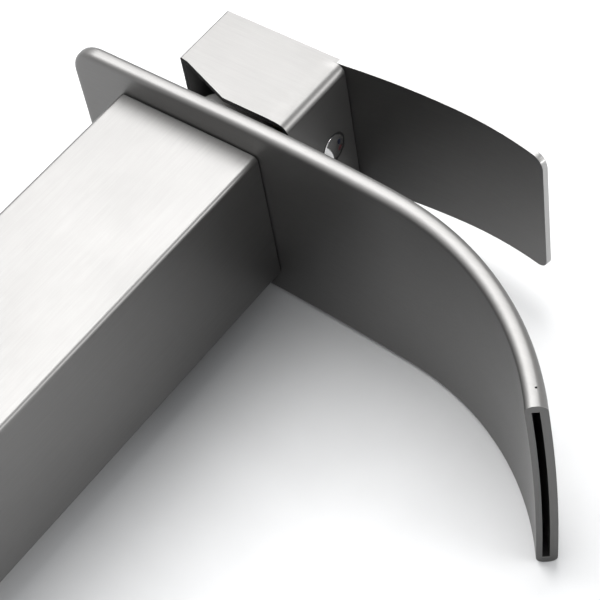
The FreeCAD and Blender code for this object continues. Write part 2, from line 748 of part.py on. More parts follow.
def make_cartridge_base():
    body = new_body("cartridge_base")
    pad(body, "XY", [circle("0", "0", "cartridge_radius")] + base_ports("base_port_radius"), "base_height")
    pocket(body, "XY", base_ports("base_port_radius + port_seal_width"), "port_seal_thickness", forwards=True)
    pocket(body, "XY", [circle("0", "0", "fixed_disc_radius + cartridge_fit / 2")], "disc_recess",
           offset="base_height")
    outlet = circle("-outlet_port_back", "0", "outlet_port_radius")
    pocket(body, "XY", [outlet], "disc_recess + 3", offset="base_height")
    level = "base_height - disc_recess - outlet_bore_radius - 0.5"
    pocket(body, "YZ", [circle("0", level, "outlet_bore_radius")], "cartridge_radius")
    node(place(body, z=SEAT))
    seals = []
    for i, side in enumerate(("hot_port_side", "-hot_port_side")):
        seals.append(tube("port_seal_%d" % (i + 1), "base_port_radius + port_seal_width - 0.05",
                          "base_port_radius", SEAT, "port_seal_thickness", "hot_port_forward", side))
    group("cartridge_port_seals", seals)


def make_discs():
    fixed = new_body("fixed_disc")
    outlet = circle("-outlet_port_back", "0", "outlet_port_radius")
    pad(fixed, "XY", [circle("0", "0", "fixed_disc_radius"), outlet] + base_ports("base_port_radius"),
        "fixed_disc_thickness")
    node(place(fixed, z=DISC_BOTTOM))
    moving = new_body("moving_disc")
    pad(moving, "XY", [circle("0", "0", "moving_disc_radius")], "moving_disc_thickness")
    pocket(moving, "XY", [circle("-mixing_offset", "0", "mixing_radius")], "mixing_depth", forwards=True)
    node(place(moving, z=DISC_FACE + " + disc_film"))


def make_disc_carrier():
    body = new_body("disc_carrier")
    pad(body, "XY", [circle("0", "0", "moving_disc_radius")], "carrier_height")
    side = "2 * (ball_radius + ball_clearance)"
    pocket(body, "XY", [centred(side)], "carrier_pocket_depth", offset="carrier_height")
    node(place(body, z=DISC_FACE + " + disc_film + moving_disc_thickness"))


def make_cartridge_housing():
    low = "base_height - seat_depth"
    ring_low = "housing_ring_level"
    ring_high = "housing_ring_level + housing_ring_height"
    groove = "cartridge_radius - housing_ring_depth"
    bore = "rotor_bore"
    ledge = "rotor_bottom + rotor_flange_height + 0.2"
    node(turned("cartridge_housing",
                [("housing_bore", low), ("cartridge_radius", low), ("cartridge_radius", ring_low),
                 (groove, ring_low), (groove, ring_high), ("cartridge_radius", ring_high),
                 ("cartridge_radius", "housing_shoulder"), ("housing_neck_radius", "housing_shoulder"),
                 ("housing_neck_radius", "housing_top"), (bore, "housing_top"), (bore, ledge),
                 ("housing_bore", ledge)], z=TOP))
    node(tube("cartridge_o_ring", "cartridge_bore - 0.02", groove + " + 0.02",
              "spout_height + " + ring_low, "housing_ring_height"))


def make_rotor():
    body = new_body("cartridge_rotor")
    flange_top = "rotor_bottom + rotor_flange_height"
    revolve(body, [("0", "rotor_bottom"), ("rotor_flange_radius", "rotor_bottom"),
                   ("rotor_flange_radius", flange_top), ("rotor_radius", flange_top),
                   ("rotor_radius", "housing_top"), ("rotor_top_radius", "housing_top"),
                   ("rotor_top_radius", "rotor_top"), ("0", "rotor_top")])
    slot = centred("stem_width + 2 * stem_slot_play", "stem_width + 2 * stem_slot_clearance")
    pocket(body, "XY", [slot], "rotor_top - rotor_bottom + 2", offset="rotor_top + 1")
    pin_hole = circle("0", "pivot_level", "pivot_pin_radius + thread_clearance")
    pocket(body, "XZ", [pin_hole], "2 * rotor_radius + 2", both_ways=True)
    node(place(body, z=TOP))
    pin = new_body("pivot_pin")
    pad(pin, "XZ", [circle("0", "0", "pivot_pin_radius")], "pivot_pin_length", both_ways=True)
    node(place(pin, z=PIVOT))


# ---------------------------------------------------------------- handle
def make_stem():
    """Level 0 is the pivot."""
    body = new_body("stem")
    pad(body, "XY", [centred("stem_width")], "stem_rise + stem_bar_drop", offset="-stem_bar_drop")
    pad(body, "XY", [circle("0", "0", "stem_rod_radius")], "ball_arm", offset="-ball_arm")
    revolve(body, [("0", "-(ball_arm + ball_radius)"),
                   arc_to("0", "-(ball_arm - ball_radius)", "0", "-ball_arm", "left")])
    hole = circle("0", "0", "pivot_pin_radius + pivot_clearance")
    pocket(body, "XZ", [hole], "stem_width + 2", both_ways=True)
    node(place(body, z=PIVOT))


def make_hood():
    """Four walls under the lever's flat root; level 0 is the lower edge of the front."""
    body = new_body("handle_hood")
    slant_top = "hood_back_lift"
    side = [("hood_slant_end", "0"), ("hood_front", "0"), ("hood_front", "hood_height"),
            ("hood_back", "hood_height"), ("hood_back", slant_top),
            ("hood_back + hood_back_flat", slant_top + " - 0.5")]
    pad(body, "XZ", [side], "hood_width", both_ways=True)
    front, back = number("hood_front"), number("hood_back")
    rounding(body, "hood_edge_radius", lambda e: upright(e) and e.BoundBox.XMax > front - 0.1)
    rounding(body, "hood_back_edge_radius", lambda e: upright(e) and e.BoundBox.XMax < back + 0.1)
    room = rectangle("hood_back + hood_wall", "hood_front - hood_wall",
                     "-(hood_width / 2 - hood_wall)", "hood_width / 2 - hood_wall")
    pocket(body, "XY", [room], "hood_height", offset="hood_height")
    pocket(body, "YZ", [circle("0", "screw_level", "button_hole_radius")], "hood_wall + 1",
           offset="hood_front + 0.5")
    node(place(body, z=HOOD_BOTTOM))


def make_lever():
    """One sheet: it roofs the hood, sweeps up a little, arches and dips to its end."""
    body = new_body("lever_plate")
    sweep_centre = ("lever_sweep_start", "lever_sweep_radius + lever_thickness / 2")
    turn_x = ("(lever_sweep_start + (lever_sweep_radius + lever_arch_radius) * sin(lever_sweep_angle))")
    turn_y = ("(lever_thickness / 2 + lever_sweep_radius"
              " - (lever_sweep_radius + lever_arch_radius) * cos(lever_sweep_angle))")
    tip_y = turn_y + " + lever_arch_radius - lever_tip_radius"

    def edge(grow):
        """The corners of one face of the sheet, grow above its middle."""
        sweep = "(lever_sweep_radius - (%s))" % grow
        arch = "(lever_arch_radius + (%s))" % grow
        tip = "(lever_tip_radius + (%s))" % grow
        return [("lever_sweep_start", "lever_thickness / 2 + (%s)" % grow),
                ("lever_sweep_start + %s * sin(lever_sweep_angle)" % sweep,
                 "%s - %s * cos(lever_sweep_angle)" % (sweep_centre[1], sweep)),
                (turn_x, "%s + %s" % (turn_y, arch)),
                ("%s + %s * sin(lever_tip_angle)" % (turn_x, tip),
                 "%s + %s * cos(lever_tip_angle)" % (tip_y, tip))]

    low = edge("-lever_thickness / 2")
    high = edge("lever_thickness / 2")
    outline = [("hood_back", "0"), low[0],
               arc_to(*low[1], *sweep_centre, "left"),
               arc_to(*low[2], turn_x, turn_y, "right"),
               arc_to(*low[3], turn_x, tip_y, "right"),
               high[3],
               arc_to(*high[2], turn_x, tip_y, "left"),
               arc_to(*high[1], turn_x, turn_y, "left"),
               arc_to(*high[0], *sweep_centre, "right"),
               ("hood_back", "lever_thickness")]
    pad(body, "XZ", [outline], "hood_width", both_ways=True)
    end_x = low[3][0]
    for side in ("", "-"):
        wedge = [("hood_front", side + "hood_width / 2"),
                 (end_x + " + 3", side + "lever_end_width / 2"),
                 (end_x + " + 3", side + "(hood_width / 2 + 2)"),
                 ("hood_front", side + "(hood_width / 2 + 2)")]
        pocket(body, "XY", [wedge], "80", both_ways=True)
    reach = number(end_x) - 1
    long_enough = number("lever_thickness") / 2
    rounding(body, "lever_corner_radius",
             lambda e: e.BoundBox.XMin > reach and e.BoundBox.YLength < 0.3 and e.BoundBox.ZLength > long_enough)
    back = number("hood_back")
    rounding(body, "hood_back_edge_radius", lambda e: upright(e) and e.BoundBox.XMax < back + 0.1)
    node(place(body, z=ROOF))


def make_hub():
    """The block under the roof that grips the stem; level 0 is the roof's underside."""
    body = new_body("handle_hub")
    block = rectangle("hub_back", "hub_front", "-hub_width / 2", "hub_width / 2")
    pad(body, "XY", [block], "hub_height", offset="-hub_height")
    stem_top = "pivot_level + stem_rise - (spout_thickness + hood_gap + hood_height)"
    pocket(body, "XY", [centred("stem_width + 2 * stem_fit")], "hub_height + %s + 0.3" % stem_top,
           offset="-hub_height", forwards=True)
    pocket(body, "YZ", [circle("0", "screw_level - hood_height", "screw_radius + thread_clearance")],
           "hub_front", offset="hub_front")
    node(place(body, z=ROOF))
    screw = new_body("handle_set_screw")
    length = "hub_front - 0.3 - stem_width / 2 - stem_fit"
    pad(screw, "YZ", [circle("0", "0", "screw_radius")], length)
    socket = [[("%s * cos(%d)" % ("screw_socket_radius / cos(30)", turn),
                "%s * sin(%d)" % ("screw_socket_radius / cos(30)", turn)) for turn in range(0, 360, 60)]]
    pocket(screw, "YZ", socket, "screw_socket_depth", offset=length)
    node(place(screw, x="stem_width / 2 + stem_fit", z=BUTTON))


def make_button():
    """The index plug over the set screw's hole, turned about X; level 0 is the hood's front face."""
    ring_back = "hood_wall"
    body = new_body("index_button")
    flange = "button_flange_radius"
    pad(body, "YZ", [circle("0", "0", "button_radius")], "button_proud + hood_wall", offset="-hood_wall")
    pad(body, "YZ", [circle("0", "0", flange)], "button_flange_thickness",
        offset="-(hood_wall + button_flange_thickness)")
    proud = number("button_proud")
    rounding(body, "button_round",
             lambda e: e.BoundBox.XMin > proud - 0.01 and e.BoundBox.YLength > 1)
    marks = [circle(side + "mark_side", "mark_rise", "mark_radius") for side in ("", "-")]
    pocket(body, "YZ", marks, "mark_depth", offset="button_proud")
    node(place(body, x="hood_front", z=BUTTON))
    ring = new_body("button_ring")
    ring_shape = [circle("0", "0", "button_hole_radius - button_fit"), circle("0", "0", "button_radius + button_fit")]
    pad(ring, "YZ", ring_shape, "%s - 0.2" % ring_back, offset="-" + ring_back)
    node(place(ring, x="hood_front", z=BUTTON))
    for name, side in (("hot_mark", ""), ("cold_mark", "-")):
        mark = new_body(name)
        shape = circle(side + "mark_side", "mark_rise", "mark_radius - button_fit")
        pad(mark, "YZ", [shape], "mark_depth + mark_proud", offset="button_proud - mark_depth")
        node(place(mark, x="hood_front", z=BUTTON))


# ---------------------------------------------------------------- build, check, write
def build():
    make_column()
    make_base_block()
    make_base_gasket()
    make_mounting_studs()
    make_clamp()
    make_tie_rods()
    make_risers()
    make_valve_body()
    make_spout()
    make_spout_seals()
    make_ring_nuts()
    make_dome()
    make_cartridge_base()
    make_discs()
    make_disc_carrier()
    make_cartridge_housing()
    make_rotor()
    make_stem()
    make_hood()
    make_lever()
    make_hub()
    make_button()
    doc.recompute()


def check():
    for thing in doc.Objects:
        if any(word in thing.State for word in ("Invalid", "Error")):
            raise RuntimeError("%s did not build" % thing.Name)
    for thing in NODES:
        if thing.Shape.isNull() or not thing.Shape.isValid() or not thing.Shape.Solids:
            raise RuntimeError("%s has no valid solid" % thing.Label)


def write():
    os.makedirs("parts", exist_ok=True)
    for thing in NODES:
        thing.Shape.exportStep(os.path.join("parts", thing.Label + ".step"))
        box = thing.Shape.BoundBox
        print("%-22s %d solid(s) %10.1f mm3  x %.1f..%.1f  y %.1f..%.1f  z %.1f..%.1f" % (
            thing.Label, len(thing.Shape.Solids), thing.Shape.Volume,
            box.XMin, box.XMax, box.YMin, box.YMax, box.ZMin, box.ZMax))


build()
check()
write()
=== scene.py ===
import math

import bmesh
import bpy
from mathutils import Matrix, Vector


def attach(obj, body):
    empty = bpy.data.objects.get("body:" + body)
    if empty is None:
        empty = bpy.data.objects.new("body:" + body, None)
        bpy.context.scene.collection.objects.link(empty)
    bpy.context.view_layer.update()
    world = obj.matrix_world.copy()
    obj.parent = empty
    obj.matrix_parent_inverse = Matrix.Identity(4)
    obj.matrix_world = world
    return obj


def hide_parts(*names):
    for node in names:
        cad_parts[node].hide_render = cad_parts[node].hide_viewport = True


# A satin-finished waterfall basin tap lying on its left side on a pale floor, seen from
# the front, from its right and from below the spout.  Metres, in the part's own frame:
# +Z up the column, +X the way the water runs, +Y to the left of the spout.

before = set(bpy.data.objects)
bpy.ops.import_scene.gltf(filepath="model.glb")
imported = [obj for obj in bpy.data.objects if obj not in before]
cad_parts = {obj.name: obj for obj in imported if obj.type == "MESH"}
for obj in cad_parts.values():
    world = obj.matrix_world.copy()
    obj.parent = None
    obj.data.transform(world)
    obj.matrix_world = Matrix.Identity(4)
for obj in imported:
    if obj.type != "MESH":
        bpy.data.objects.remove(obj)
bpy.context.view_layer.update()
MM = 0.001

# ---------------------------------------------------------------- sizes, in millimetres
COLUMN_HALF = 22.5
COLUMN_WALL = 2.0
COLUMN_EDGE_RADIUS = 1.4

# spout plate
PLATE_LEVEL = 255.0             # the plate's underside over the column
PLATE_HALF_WIDTH = 31.7
PLATE_THICKNESS = 4.4
PLATE_BACK = -39.1
PLATE_CORNER = 9.0
FLAT_END = 8.0
EASE_RADIUS = 746.0             # of the plate's middle, over the column's front
EASE_ANGLE = math.radians(4.3)
BEND_RADIUS = 82.8
BEND_ANGLE = math.radians(49.4)
CROWN_START = 16.0              # along the plate, where its middle begins to rise
CROWN_TIP = 0.9                 # how far the middle stands over the sides at the end
TWIST_TIP = 0.75                # how far the left side stands over the right one there
LIP_RISE = 0.45                 # of the plate's top layer, close to the end
UNDER_SINK = 0.4                # of the plate's underside, past WIDE_START
NARROW_BACK = 0.8               # each side lies this much nearer the middle over the column
WIDE_START = 60.0
LIP_POWER = 6                   # how late along the plate the lip rises
CORE_SHARE = 0.6                # of the thickness that neither lip nor sink moves
EDGE_SQUARENESS = 0.73          # below 1 the edges are flatter than full round
EDGE_STEPS = 14
STEPS_ACROSS = 16
SLOT_HEIGHT = 1.75
SLOT_DROP = 0.2                 # the slot's middle lies this far under the plate's
SLOT_SIDE_WALL = 2.2
CHAMBER_BACK = -19.0
CHAMBER_CORNER = 0.6
CHAMBER_PAST_END = 3.0          # the cut runs out past the plate's end
NECK_HOLE = 14.1
NECK_CUT = (-3.0, 8.0)          # the hole's cut, from the plate's underside
VENT_PLACE = (121.8, 225.9)     # a pinhole in the right edge, near the end
VENT_RADIUS = 0.28
VENT_DEPTH = 0.9
END_BEVEL = 0.16

# joint between column and plate
SEAM_GAP = 0.35
SEAM_INSET = 0.35
SEAL_BITE = 0.02                # the seal reaches this far into both pieces
SEAL_OVERHANG = 0.1             # and inside the tube's wall
COLUMN_TOP_BAND = 5.0           # what lies in this band goes down by the gap
COLUMN_BEVEL = 0.12

# handle
ROOF_LEVEL = 291.0              # underside of the lever's sheet over the hood
HOOD_FRONT = 22.5
HOOD_HALF_WIDTH = 22.5
HOOD_WALL = 1.5
HOOD_BACK = -17.2
HOOD_ROUNDING = 2.4             # of its upright front edges
LEAN_START = 15.6               # the hood's sides lean in from here to the rounding
LEAN_DEPTH = 0.4
LEAN_FADE = 2.5                 # the lean fades out over this depth under the roof
LEAN_CUTS = 4
SKIRT_DEPTH = 12.0              # under the roof, past which edges have the rim's bevel
RIM_DEPTH = 15.0                # under the roof, past which a downward face is the rim
LEVER_REACH = 50.0              # in front of the hood, past which lies the lever's end
EDGE_BEVEL = 0.3
RIM_BEVEL = 0.1

# dome: (level, radius) up its outside, then down its inside
DOME_OUTSIDE = [(259.4, 16.3), (262.5, 16.3), (263.4, 16.2), (264.6, 15.85),
                (266.0, 15.6), (272.2, 15.5)]
DOME_ROUNDING = 2.0
DOME_ROUNDING_STEPS = 8
DOME_MOUTH = [(274.5, 11.0), (273.5, 11.0), (273.2, 13.4), (272.0, 15.2), (259.4, 15.2)]

# mounting studs
STUD_OFFSET = 13.5
STUD_TOP, STUD_END = 9.5, -56.0
THREAD_TOP = -8.0
THREAD_RADIUS, NECK_RADIUS, ROOT_RADIUS = 3.0, 2.7, 2.5
THREAD_PITCH = 1.0
THREAD_STEPS = 28               # to a turn
THREAD_RUNOUT = 1.0             # of the length below THREAD_TOP that has no thread
STUD_CHAMFER = 0.6
THREAD_SINK = 0.02              # the thread's root lies this far inside the core
NECK_BELOW, NECK_ABOVE = 0.4, 0.1   # round THREAD_TOP, where the core widens to its neck

# index plug
PLUG_LEVEL = 282.3
PLUG_RADIUS = 4.26
PLUG_FLANGE_RADIUS = 5.48
PLUG_BACK = 20.2
PLUG_FLANGE_FRONT = 21.0
PLUG_TOP = 23.1
PLUG_CROWN = 0.6                # how far its face falls from the middle to the rim
MARK_SIDE = 1.15
MARK_RISE = 2.0
MARK_RADIUS = 0.83
MARK_PROUD = 0.03
MARK_DEPTH = 0.15
PLUG_RIM_STEP = 0.08

# ---------------------------------------------------------------- camera
CAMERA_PLACE = Vector((261.3, -368.1, 25.3)) * MM
VIEW_DIRECTION = Vector((-0.4476, 0.7779, 0.4410))
VIEW_DOWN = Vector((0.4076, 0.6164, -0.6737))
FOCAL_PIXELS = 1937.5
FRAME_PIXELS = 600.0
SENSOR_MM = 36.0
AXIS_RIGHT_PIXELS = 6.4         # the optical axis lies this far right of the middle
AXIS_DOWN_PIXELS = 15.2         # and this far below it
CLIP_RANGE = (0.01, 20.0)       # metres


def add_camera():
    forward = VIEW_DIRECTION.normalized()
    down = (VIEW_DOWN - forward * VIEW_DOWN.dot(forward)).normalized()
    right = down.cross(forward)
    turn = Matrix((right, -down, -forward)).transposed().to_4x4()
    data = bpy.data.cameras.new("camera")
    camera = bpy.data.objects.new("camera", data)
    bpy.context.scene.collection.objects.link(camera)
    camera.matrix_world = Matrix.Translation(CAMERA_PLACE) @ turn
    data.sensor_width = SENSOR_MM
    data.lens = SENSOR_MM * FOCAL_PIXELS / FRAME_PIXELS
    data.shift_x = -AXIS_RIGHT_PIXELS / FRAME_PIXELS
    data.shift_y = AXIS_DOWN_PIXELS / FRAME_PIXELS
    data.clip_start, data.clip_end = CLIP_RANGE
    bpy.context.scene.camera = camera


# ---------------------------------------------------------------- materials
# textures are in grains per metre, bump distances in metres
NOISE_ROUGHNESS = 0.55
SATIN_GRAIN, SATIN_TINT_GRAIN, SATIN_CLOUDS = 9000.0, 2600.0, 28.0
SATIN_STREAKS = 0.03            # of the roughness, with the grain
SATIN_BUMP = 0.00002
SATIN_SHADE, TURNED_SHADE, MOULDED_SHADE = 0.9, 0.8, 0.86   # of a colour, in its darker parts
TURNED_PATCHES, TURNED_POLISH, TURNED_PITCH = 140.0, 400.0, 0.0004
TURNED_BUMP = 0.00004
MOULDED_CLOUDS, MOULDED_POLISH, MOULDED_GRAIN = 90.0, 600.0, 1800.0
MOULDED_BUMP = 0.00003
SUBSURFACE_SCALE = 0.001


class Material:
    """A node material under construction."""

    def __init__(self, name):
        self.material = bpy.data.materials.new(name)
        self.material.use_nodes = True
        self.nodes = self.material.node_tree.nodes
        self.links = self.material.node_tree.links
        self.shader = self.nodes["Principled BSDF"]
        self.output = self.nodes["Material Output"]
        self.place = self.nodes.new("ShaderNodeTexCoord").outputs["Object"]

    def set(self, **values):
        for name, value in values.items():
            self.shader.inputs[name.replace("_", " ")].default_value = value
        return self

    def join(self, source, target):
        self.links.new(source, target)

    def stretched(self, scale, stretch):
        """Coordinates for a texture of that many grains per metre, drawn out along an axis."""
        mapping = self.nodes.new("ShaderNodeMapping")
        mapping.inputs["Scale"].default_value = [scale * s for s in stretch]
        self.join(self.place, mapping.inputs["Vector"])
        return mapping.outputs["Vector"]

    def noise(self, scale, stretch=(1, 1, 1), detail=4.0):
        node = self.nodes.new("ShaderNodeTexNoise")
        node.inputs["Scale"].default_value = 1.0
        node.inputs["Detail"].default_value = detail
        node.inputs["Roughness"].default_value = NOISE_ROUGHNESS
        self.join(self.stretched(scale, stretch), node.inputs["Vector"])
        return node.outputs["Fac"]

    def ramp(self, value, low, high, start=0.3, end=0.7):
        """Maps a value to a range."""
        node = self.nodes.new("ShaderNodeMapRange")
        node.inputs["From Min"].default_value = start
        node.inputs["From Max"].default_value = end
        node.inputs["To Min"].default_value = low
        node.inputs["To Max"].default_value = high
        self.join(value, node.inputs["Value"])
        return node.outputs["Result"]

    def colours(self, value, low, high, start=0.3, end=0.7):
        node = self.nodes.new("ShaderNodeMix")
        node.data_type = "RGBA"
        self.join(self.ramp(value, 0.0, 1.0, start, end), node.inputs["Factor"])
        node.inputs["A"].default_value = (*low, 1.0)
        node.inputs["B"].default_value = (*high, 1.0)
        return node.outputs["Result"]

    def bump(self, height, strength, distance):
        node = self.nodes.new("ShaderNodeBump")
        node.inputs["Strength"].default_value = strength
        node.inputs["Distance"].default_value = distance
        self.join(height, node.inputs["Height"])
        return node.outputs["Normal"]

    def add(self, first, second):
        node = self.nodes.new("ShaderNodeMath")
        node.operation = "ADD"
        self.join(first, node.inputs[0])
        self.join(second, node.inputs[1])
        return node.outputs["Value"]


def satin_metal(name, colour, roughness, grain, depth=0.12, spread=0.03):
    """Metal with a fine brushed grain along one axis, cloudy polish and faint handling marks."""
    m = Material(name).set(Metallic=1.0)
    fine = m.noise(SATIN_GRAIN, grain, detail=3.0)
    broad = m.noise(SATIN_CLOUDS, detail=3.0)
    dark = [c * SATIN_SHADE for c in colour]
    tint = m.add(m.ramp(m.noise(SATIN_TINT_GRAIN, grain), 0.0, 0.6), m.ramp(broad, 0.0, 0.4))
    m.join(m.colours(tint, dark, colour, 0.0, 1.0), m.shader.inputs["Base Color"])
    cloudy = m.ramp(broad, roughness - spread, roughness + spread)
    streaks = m.ramp(fine, -SATIN_STREAKS, SATIN_STREAKS)
    m.join(m.add(cloudy, streaks), m.shader.inputs["Roughness"])
    m.join(m.bump(fine, depth, SATIN_BUMP), m.shader.inputs["Normal"])
    return m.material


def machined_metal(name, colour, roughness):
    """Turned or drawn metal: fine rings, small colour changes, dull patches."""
    m = Material(name).set(Metallic=1.0)
    patches = m.noise(TURNED_PATCHES, detail=5.0)
    tint = m.colours(patches, [c * TURNED_SHADE for c in colour], colour)
    rings = m.noise(1.0 / TURNED_PITCH, (0.15, 0.15, 1))
    polish = m.ramp(m.noise(TURNED_POLISH), roughness - 0.06, roughness + 0.08)
    m.join(tint, m.shader.inputs["Base Color"])
    m.join(polish, m.shader.inputs["Roughness"])
    m.join(m.bump(rings, 0.3, TURNED_BUMP), m.shader.inputs["Normal"])
    return m.material


def moulded(name, colour, roughness, depth=0.25, subsurface=0.0, specular=0.5):
    """Moulded rubber, plastic or fired ceramic; also the dull dark painted shade inside the hood
    and on its rims.
    """
    m = Material(name).set(Metallic=0.0, Specular_IOR_Level=specular)
    if subsurface:
        m.set(Subsurface_Weight=subsurface, Subsurface_Scale=SUBSURFACE_SCALE)
    tint = m.colours(m.noise(MOULDED_CLOUDS), [c * MOULDED_SHADE for c in colour], colour)
    polish = m.ramp(m.noise(MOULDED_POLISH), roughness - 0.05, roughness + 0.07)
    skin = m.noise(MOULDED_GRAIN, detail=6.0)
    m.join(tint, m.shader.inputs["Base Color"])
    m.join(polish, m.shader.inputs["Roughness"])
    m.join(m.bump(skin, depth, MOULDED_BUMP), m.shader.inputs["Normal"])
    return m.material


# the grain is drawn out along one axis
ALONG_X, ALONG_Y, ALONG_Z = (0.03, 1, 1), (1, 0.03, 1), (1, 1, 0.03)
SATIN = (0.168, 0.166, 0.163)
# painted light: a slightly paler copy of the satin, so the column's sides read brighter
PAINTED_LIGHT_SATIN = (0.182, 0.180, 0.177)
# painted shade: a darker copy of the satin, for the spout's cut end
PAINTED_SHADE_SATIN = (0.120, 0.119, 0.117)
# painted highlight: a paler copy of the satin, for the lever's sides past the hood and the roof's
# front corners
SIDE_PAINTED_HIGHLIGHT = (0.25, 0.248, 0.245)
# painted highlight: a brighter, smoother copy of the satin, for the lever's end face
END_PAINTED_HIGHLIGHT = (0.36, 0.358, 0.354)
# painted light: a much paler copy of the satin, so the dome looks lit in the hood's shade
DOME_PAINTED_LIGHT = (0.56, 0.555, 0.545)
POLISHED = (0.55, 0.55, 0.55)
SATIN_ROUGHNESS = 0.45

MATERIALS = {
    "satin_column_painted_light": satin_metal("satin_column_painted_light", PAINTED_LIGHT_SATIN, SATIN_ROUGHNESS, ALONG_Z),
    "satin_plate": satin_metal("satin_plate", SATIN, SATIN_ROUGHNESS, ALONG_X),
    "satin_cut_painted_shade": satin_metal("satin_cut_painted_shade", PAINTED_SHADE_SATIN, SATIN_ROUGHNESS, ALONG_Y),
    "satin_handle": satin_metal("satin_handle", SATIN, SATIN_ROUGHNESS, ALONG_X),
    "satin_dome_painted_light": satin_metal("satin_dome_painted_light", DOME_PAINTED_LIGHT, 0.55, ALONG_Z),
    "painted_highlight_end": satin_metal("painted_highlight_end", END_PAINTED_HIGHLIGHT, 0.36, ALONG_Y),
    "painted_highlight_side": satin_metal("painted_highlight_side", SIDE_PAINTED_HIGHLIGHT, SATIN_ROUGHNESS, ALONG_X),
    # painted shade: a dull dark grey for the inside of the hood
    "painted_shade_inside": moulded("painted_shade_inside", (0.13, 0.13, 0.13), 0.7, specular=0.1),
    # painted shade: near black for the hood's lower rims
    "painted_shade_rim": moulded("painted_shade_rim", (0.02, 0.02, 0.02), 0.7, specular=0.1),
    "polished": satin_metal("polished", POLISHED, 0.08, ALONG_Y, depth=0.05, spread=0.02),
    "brass": machined_metal("brass", (0.72, 0.55, 0.27), 0.32),
    "copper": machined_metal("copper", (0.72, 0.42, 0.28), 0.30),
    "steel": machined_metal("steel", (0.50, 0.51, 0.52), 0.34),
    "rubber": moulded("rubber", (0.018, 0.018, 0.020), 0.62),
    "black_plastic": moulded("black_plastic", (0.012, 0.012, 0.013), 0.42),
    "white_plastic": moulded("white_plastic", (0.80, 0.80, 0.77), 0.40, subsurface=0.1),
    "grey_plastic": moulded("grey_plastic", (0.36, 0.37, 0.39), 0.42),
    "ceramic": moulded("ceramic", (0.86, 0.85, 0.81), 0.14, depth=0.05),
    "red_enamel": moulded("red_enamel", (0.08, 0.010, 0.014), 0.30, depth=0.05),
    "blue_enamel": moulded("blue_enamel", (0.010, 0.014, 0.032), 0.30, depth=0.05),
}

NODE_MATERIALS = {
    # painted light: the column and its base get the slightly paler satin copy
    "satin_column_painted_light": ["column_tube", "base_block"],
    "satin_handle": ["handle_hood", "lever_plate"],
    "satin_plate": ["spout_shell"],
    "satin_dome_painted_light": ["dome_cap"],
    "polished": ["index_button"],
    "brass": ["valve_body", "spout_clamp_nut", "cartridge_nut", "handle_hub", "stud_nuts"],
    "copper": ["hot_riser_tube", "cold_riser_tube"],
    "steel": ["mounting_studs", "clamp_plate", "tie_rods", "tie_nuts", "pivot_pin", "stem",
              "handle_set_screw"],
    "rubber": ["base_gasket", "deck_washer", "riser_o_rings", "spout_lower_seal",
               "spout_upper_seal", "dome_o_ring", "cartridge_port_seals", "cartridge_o_ring"],
    "black_plastic": ["button_ring"],
    "white_plastic": ["cartridge_base", "disc_carrier", "cartridge_rotor"],
    "grey_plastic": ["cartridge_housing"],
    "ceramic": ["fixed_disc", "moving_disc"],
    "red_enamel": ["hot_mark"],
    "blue_enamel": ["cold_mark"],
}


def paint(obj, *materials):
    obj.data.materials.clear()
    for material in materials:
        obj.data.materials.append(MATERIALS[material])


def paint_nodes():
    for material, names in NODE_MATERIALS.items():
        for name in names:
            paint(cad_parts[name], material)


# ---------------------------------------------------------------- mesh helpers
SPLIT = 1e-6                    # metres; corners this close are one corner
HAIR = 1e-7                     # metres; the same in pieces built here, and for a plane's cut
BEVEL_ANGLE = 30.0              # degrees; an edge that turns more than this is sharp
BEVEL_SEGMENTS = 3


def new_object(name, bm):
    bmesh.ops.recalc_face_normals(bm, faces=bm.faces)
    mesh = bpy.data.meshes.new(name)
    bm.to_mesh(mesh)
    bm.free()
    obj = bpy.data.objects.new(name, mesh)
    bpy.context.scene.collection.objects.link(obj)
    return obj


def merge_flats(bm, degrees):
    """Merges split corners, and faces that turn by less than an angle."""
    bmesh.ops.remove_doubles(bm, verts=bm.verts, dist=SPLIT)
    bmesh.ops.dissolve_limit(bm, angle_limit=math.radians(degrees), verts=bm.verts, edges=bm.edges)


def copy_of(node, name):
    """A new object with a CAD node's shape, its corners merged and its flat faces whole."""
    bm = bmesh.new()
    bm.from_mesh(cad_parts[node].data)
    merge_flats(bm, 0.3)
    return new_object(name, bm)


def settle(obj):
    """Applies an object's modifiers."""
    shape = obj.evaluated_get(bpy.context.evaluated_depsgraph_get())
    mesh = bpy.data.meshes.new_from_object(shape)
    obj.modifiers.clear()
    obj.data = mesh
    return obj


def combine(obj, tools, operation):
    """Cuts solids out of an object, or joins them to it, and removes them."""
    for tool in tools:
        change = obj.modifiers.new(operation.lower(), "BOOLEAN")
        change.operation = operation
        change.solver = "EXACT"
        change.object = tool
    settle(obj)
    for tool in tools:
        bpy.data.objects.remove(tool)
    return obj


def join(obj, others):
    """Adds other objects' meshes to an object as they are, and removes those objects."""
    bm = bmesh.new()
    for part in [obj] + others:
        bm.from_mesh(part.data)
    bm.to_mesh(obj.data)
    bm.free()
    for part in others:
        bpy.data.objects.remove(part)


def cut_flat(bm, place, normal):
    """Splits the faces that a plane crosses."""
    bmesh.ops.bisect_plane(bm, geom=bm.verts[:] + bm.edges[:] + bm.faces[:], dist=HAIR,
                           plane_co=Vector(place) * MM, plane_no=normal)


def bridge(bm, first, second):
    """The faces between two closed loops of as many points."""
    for i in range(len(first)):
        j = (i + 1) % len(first)
        bm.faces.new((first[i], first[j], second[j], second[i]))


def shade(obj, angle=35.0):
    """Smooth over its gentle edges, with its large flat faces kept flat."""
    for face in obj.data.polygons:
        face.use_smooth = True
    obj.data.set_sharp_from_angle(angle=math.radians(angle))
    even = obj.modifiers.new("even", "WEIGHTED_NORMAL")
    even.keep_sharp = True
    even.weight = 90
    return obj


